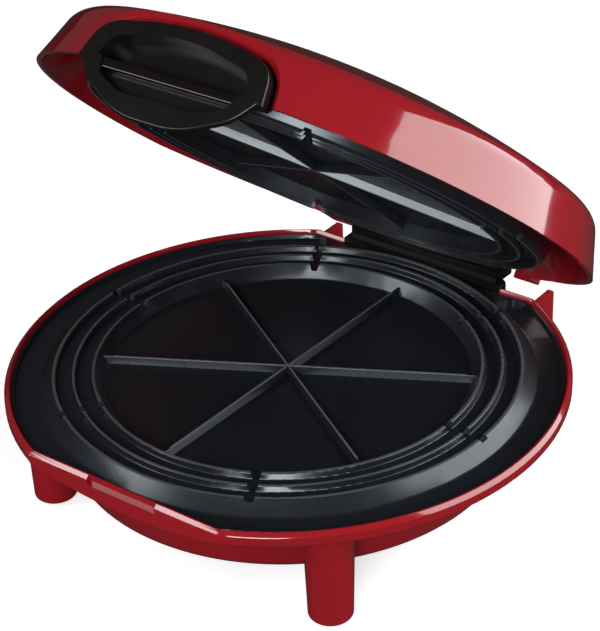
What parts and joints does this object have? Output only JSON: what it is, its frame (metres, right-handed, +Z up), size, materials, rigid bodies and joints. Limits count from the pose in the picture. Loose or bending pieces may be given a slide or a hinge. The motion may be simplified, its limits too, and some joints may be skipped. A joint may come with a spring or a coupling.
{
  "type": "quesadilla maker",
  "caption": "Round electric quesadilla maker: red dish on legs, domed red lid hinged at the back, ridged wedge plates in both halves and an oval grip handle.",
  "frame": {"origin": "on the floor under the middle of the bounding box, with the lid open as in the rest pose", "axes": "+Z up, front and handle towards -Y, hinge towards +Y, +X to the right seen from the front"},
  "size_m": [0.3114, 0.3011, 0.2869],
  "materials": {
    "red_shell": "gloss moulded",
    "ridged_plate": "dark non-stick coating, satin",
    "pad_rubber": "matt",
    "screw_steel": "zinc plated",
    "black_moulding": "satin moulded",
    "bar_moulding": "satin moulded",
    "element_steel": "oxidised",
    "aluminised_sheet": "mill finish",
    "thermostat_body": "phenolic",
    "fuse_case": "plain",
    "terminal_ceramic": "white moulded",
    "bushing_rubber": "matt",
    "pin_steel": "turned"
  },
  "bodies": {
    "base": {"base_shell": "red_shell", "lower_plate": "ridged_plate", "foot_front_left": "red_shell", "foot_front_right": "red_shell", "foot_rear_left": "red_shell", "foot_rear_right": "red_shell", "foot_pads": "pad_rubber", "foot_screws": "screw_steel", "lower_plate_screws": "screw_steel", "lower_element": "element_steel", "lower_element_clips": "aluminised_sheet", "lower_clip_screws": "screw_steel", "lower_heat_shield": "aluminised_sheet", "lower_shield_screws": "screw_steel", "base_thermostat": "thermostat_body", "thermal_fuse": "fuse_case", "terminal_block": "terminal_ceramic", "inlet_bushing": "bushing_rubber", "hinge_base_bracket": "black_moulding", "hinge_base_screws": "screw_steel", "hinge_pin": "pin_steel", "hinge_pin_clip": "pin_steel"},
    "lid": {"lid_shell": "red_shell", "upper_plate": "ridged_plate", "upper_plate_screws": "screw_steel", "upper_element": "element_steel", "upper_element_clips": "aluminised_sheet", "upper_clip_screws": "screw_steel", "upper_heat_shield": "aluminised_sheet", "upper_shield_screws": "screw_steel", "upper_thermostat": "thermostat_body", "handle_frame": "black_moulding", "handle_bar": "bar_moulding", "handle_screws": "screw_steel", "hinge_lid_bracket": "black_moulding", "hinge_lid_screws": "screw_steel"}
  },
  "joints": [
    {"name": "lid_hinge", "type": "hinge", "parent": "base", "child": "lid", "pos_m": [0, 0.1309, 0.085], "axis": [-1, 0, 0], "range_deg": [-42, 52]}
  ]
}
